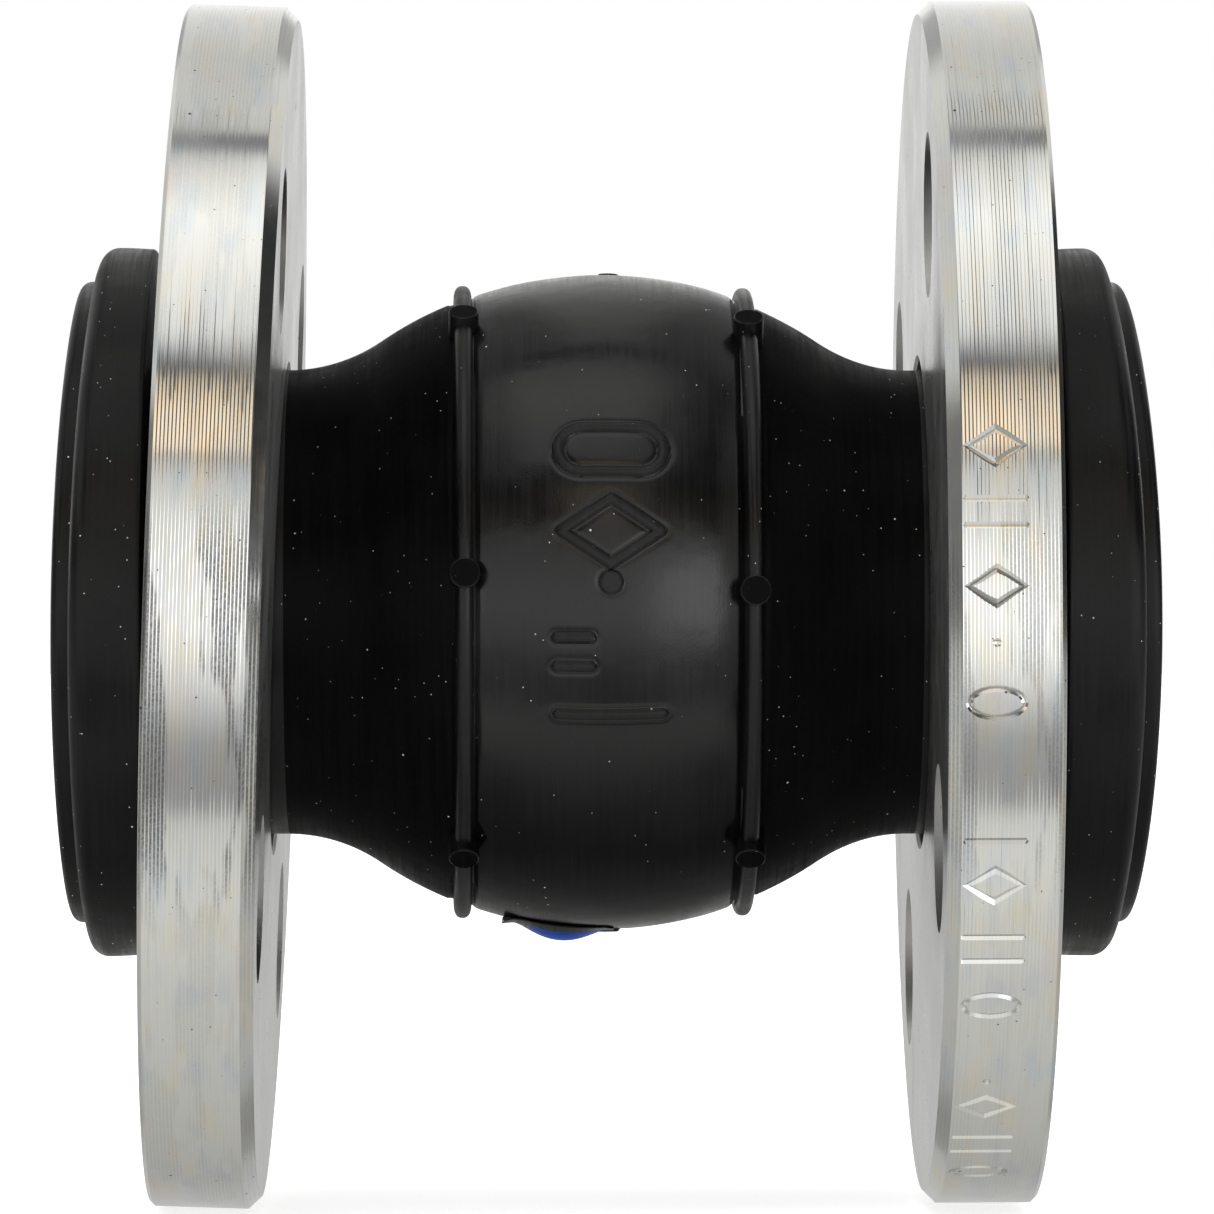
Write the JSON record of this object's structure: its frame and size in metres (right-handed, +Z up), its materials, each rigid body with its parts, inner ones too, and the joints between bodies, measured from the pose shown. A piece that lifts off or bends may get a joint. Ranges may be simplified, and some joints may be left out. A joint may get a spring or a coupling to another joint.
{
  "type": "rubber expansion joint",
  "caption": "Flanged single-arch rubber expansion joint for a pipe line: a black rubber bellows with wire-hooped collars and floating drilled steel flanges.",
  "frame": {"origin": "middle of the bellows, on the pipe's axis, half way between the two sealing faces", "axes": "+X along the pipe's axis towards the right sealing face, +Z up, -Y towards the pictured side"},
  "size_m": [0.102, 0.115, 0.1152],
  "materials": {
    "black_rubber": "satin moulded",
    "nylon_cord": "matt cord",
    "zinc_steel": "turned and zinc plated",
    "bead_wire": "bright drawn",
    "blue_label": "gloss film, blank"
  },
  "bodies": {
    "left_end": {"left_end_cover": "black_rubber", "left_end_outer_ply": "nylon_cord", "left_end_inner_ply": "nylon_cord", "left_end_tube": "black_rubber", "left_bead_ring": "bead_wire"},
    "left_flange": {"left_flange": "zinc_steel"},
    "left_neck": {"left_neck_cover": "black_rubber", "left_neck_outer_ply": "nylon_cord", "left_neck_inner_ply": "nylon_cord", "left_neck_tube": "black_rubber"},
    "arch": {"arch_cover": "black_rubber", "arch_outer_ply": "nylon_cord", "arch_inner_ply": "nylon_cord", "arch_tube": "black_rubber", "blank_label": "blue_label"},
    "right_neck": {"right_neck_cover": "black_rubber", "right_neck_outer_ply": "nylon_cord", "right_neck_inner_ply": "nylon_cord", "right_neck_tube": "black_rubber"},
    "right_end": {"right_end_cover": "black_rubber", "right_end_outer_ply": "nylon_cord", "right_end_inner_ply": "nylon_cord", "right_end_tube": "black_rubber", "right_bead_ring": "bead_wire"},
    "right_flange": {"right_flange": "zinc_steel"}
  },
  "joints": [
    {"name": "left_flange_swivel", "type": "hinge", "parent": "left_end", "child": "left_flange", "pos_m": [-0.03555, 0, 0], "axis": [0.9995, 0, -0.0314], "continuous": true},
    {"name": "left_tilt", "type": "hinge", "parent": "left_end", "child": "left_neck", "pos_m": [-0.022, 0, 0], "axis": [0, 1, 0], "range_deg": [-7.5, 7.5], "stiffness_Nm_per_rad": 40, "deforming": ["left_neck_cover", "left_neck_outer_ply", "left_neck_inner_ply", "left_neck_tube"]},
    {"name": "left_squeeze", "type": "slide", "parent": "left_neck", "child": "arch", "axis": [1, 0, 0], "range_m": [-0.004, 0.002], "stiffness_N_per_m": 30000},
    {"name": "right_squeeze", "type": "slide", "parent": "arch", "child": "right_neck", "axis": [1, 0, 0], "range_m": [-0.004, 0.002], "stiffness_N_per_m": 30000},
    {"name": "right_tilt", "type": "hinge", "parent": "right_neck", "child": "right_end", "pos_m": [0.022, 0, 0], "axis": [0, 1, 0], "range_deg": [-7.5, 7.5], "stiffness_Nm_per_rad": 40, "deforming": ["right_neck_cover", "right_neck_outer_ply", "right_neck_inner_ply", "right_neck_tube"]},
    {"name": "right_flange_swivel", "type": "hinge", "parent": "right_end", "child": "right_flange", "pos_m": [0.03555, 0, 0], "axis": [1, 0, 0], "continuous": true}
  ],
  "couplings": [
    {"joint": "right_squeeze", "follows": "left_squeeze", "ratio": 1}
  ]
}
